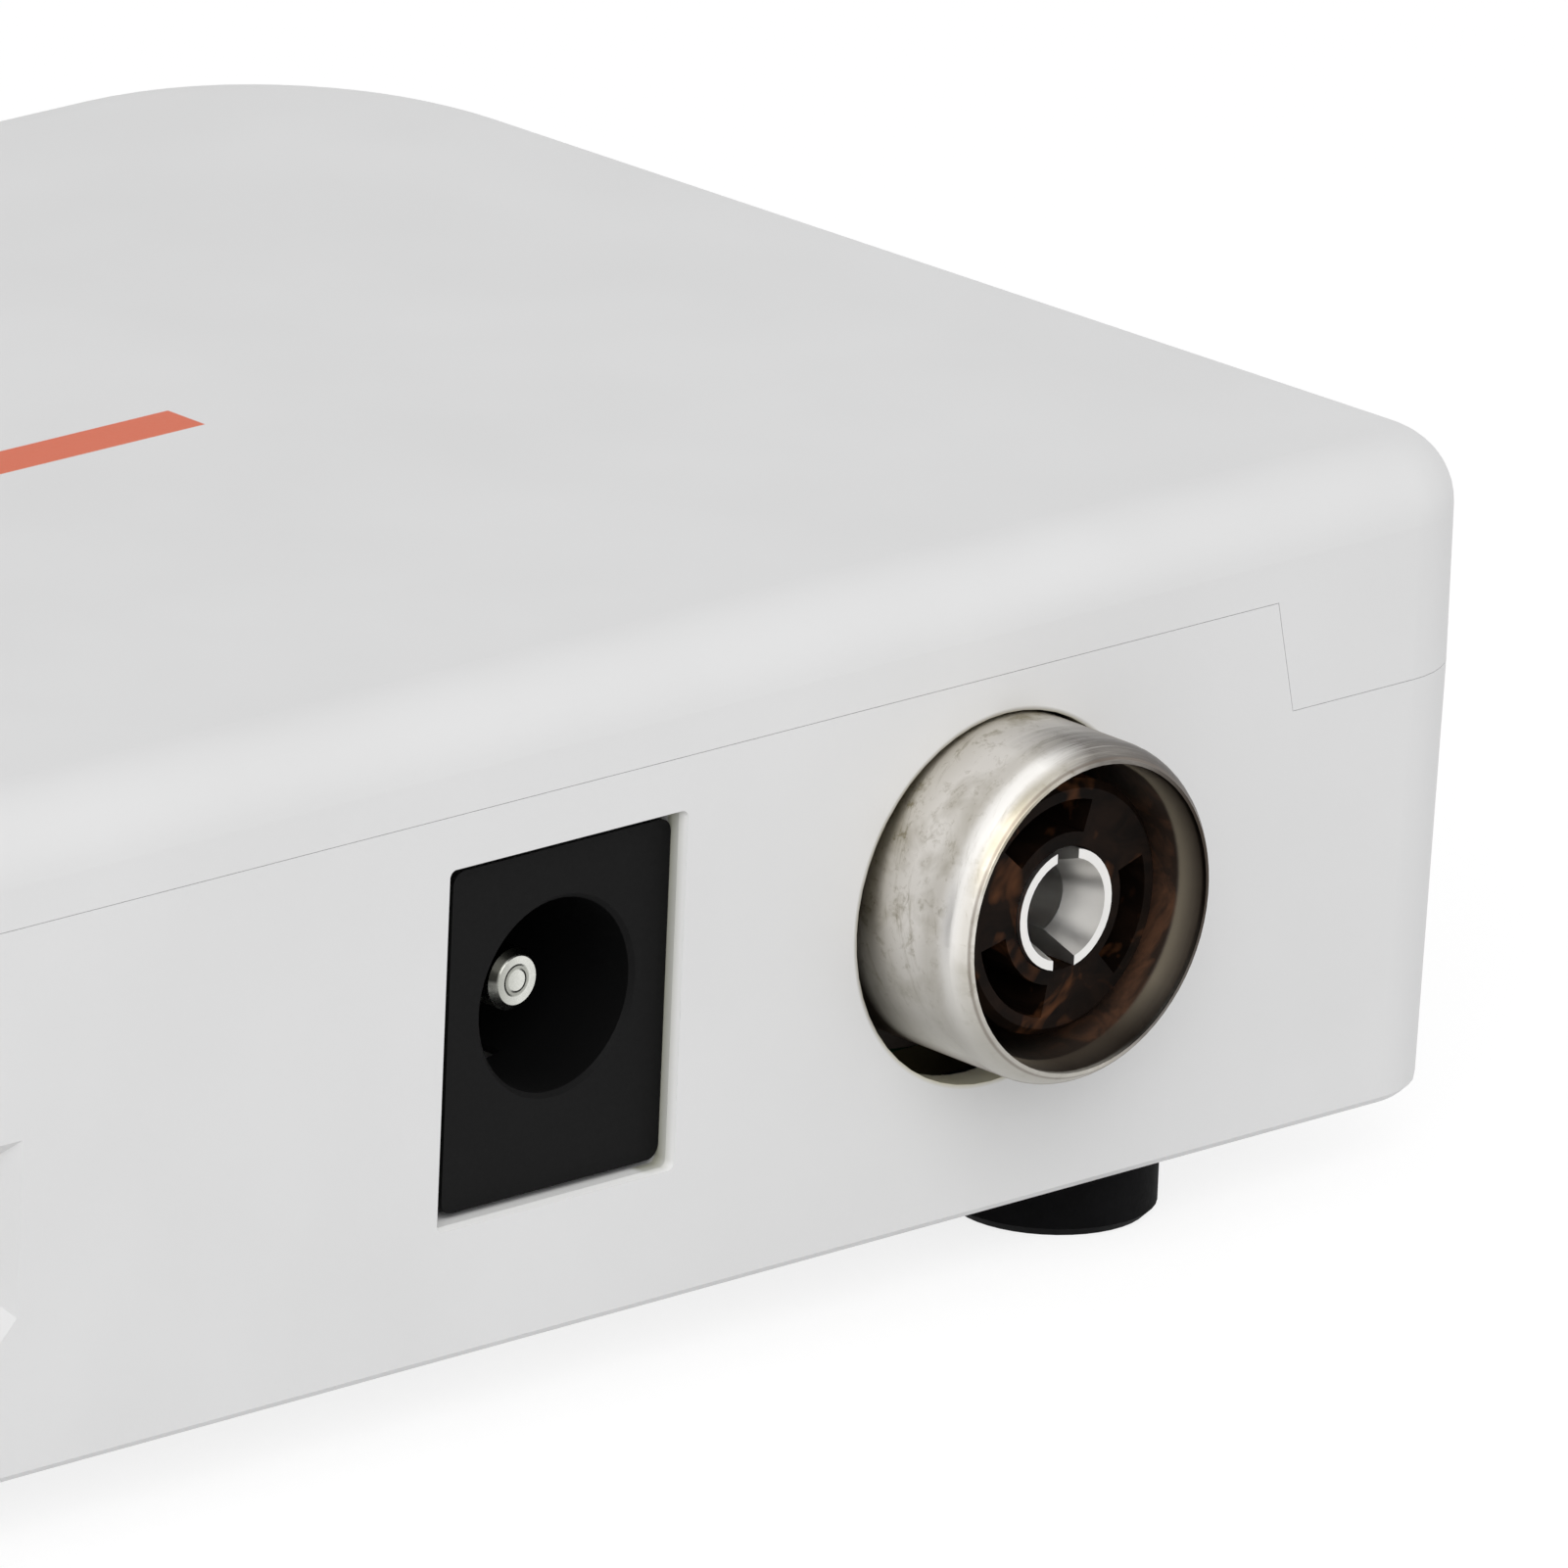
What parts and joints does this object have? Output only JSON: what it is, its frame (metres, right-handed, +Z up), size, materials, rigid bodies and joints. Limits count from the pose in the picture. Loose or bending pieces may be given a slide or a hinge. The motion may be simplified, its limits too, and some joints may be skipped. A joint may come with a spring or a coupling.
{
  "type": "coax to hdmi converter",
  "caption": "Small white plastic box with an aerial socket, a supply socket and a video socket on its rear face, a front window and round rubber feet.",
  "frame": {"origin": "under the middle of the whole box, aerial sleeve included, on the surface the feet stand on", "axes": "+X along the rear face towards the video socket, +Y out of the rear face through the sockets, +Z up"},
  "size_m": [0.098, 0.0582, 0.0238],
  "materials": {
    "bottom_shell": "satin moulded white",
    "top_shell": "satin moulded white",
    "rubber_feet": "matt",
    "case_screws": "zinc plated",
    "circuit_board": "green solder mask",
    "board_screws": "zinc plated",
    "antenna_sleeve": "worn nickel plate",
    "antenna_insulator": "brown moulded",
    "antenna_contact": "nickel plate",
    "tuner_frame": "tinned",
    "tuner_lid": "tinned",
    "tuner_board": "green solder mask",
    "tuner_chip": "matt",
    "tuner_coils": "enamelled copper",
    "power_jack_body": "black moulded",
    "power_jack_pin": "nickel plate",
    "power_jack_terminals": "tinned",
    "video_socket_shell": "nickel plate",
    "video_socket_insulator": "black moulded",
    "video_socket_contacts": "gold plate",
    "front_window": "dark tinted",
    "infrared_receiver": "dark epoxy",
    "status_light": "clear red",
    "video_chip": "matt",
    "memory_chip": "matt",
    "program_chip": "matt",
    "crystal": "drawn",
    "capacitors": "sleeved can",
    "inductors": "ferrite",
    "voltage_regulator": "matt",
    "chip_capacitors": "ceramic"
  },
  "bodies": {
    "root": {"bottom_shell": "bottom_shell", "top_shell": "top_shell", "rubber_feet": "rubber_feet", "case_screws": "case_screws", "circuit_board": "circuit_board", "board_screws": "board_screws", "antenna_sleeve": "antenna_sleeve", "antenna_insulator": "antenna_insulator", "antenna_contact": "antenna_contact", "tuner_frame": "tuner_frame", "tuner_lid": "tuner_lid", "tuner_board": "tuner_board", "tuner_chip": "tuner_chip", "tuner_coils": "tuner_coils", "power_jack_body": "power_jack_body", "power_jack_pin": "power_jack_pin", "power_jack_terminals": "power_jack_terminals", "video_socket_shell": "video_socket_shell", "video_socket_insulator": "video_socket_insulator", "video_socket_contacts": "video_socket_contacts", "front_window": "front_window", "infrared_receiver": "infrared_receiver", "status_light": "status_light", "video_chip": "video_chip", "memory_chip": "memory_chip", "program_chip": "program_chip", "crystal": "crystal", "capacitors": "capacitors", "inductors": "inductors", "voltage_regulator": "voltage_regulator", "chip_capacitors": "chip_capacitors"}
  },
  "joints": []
}
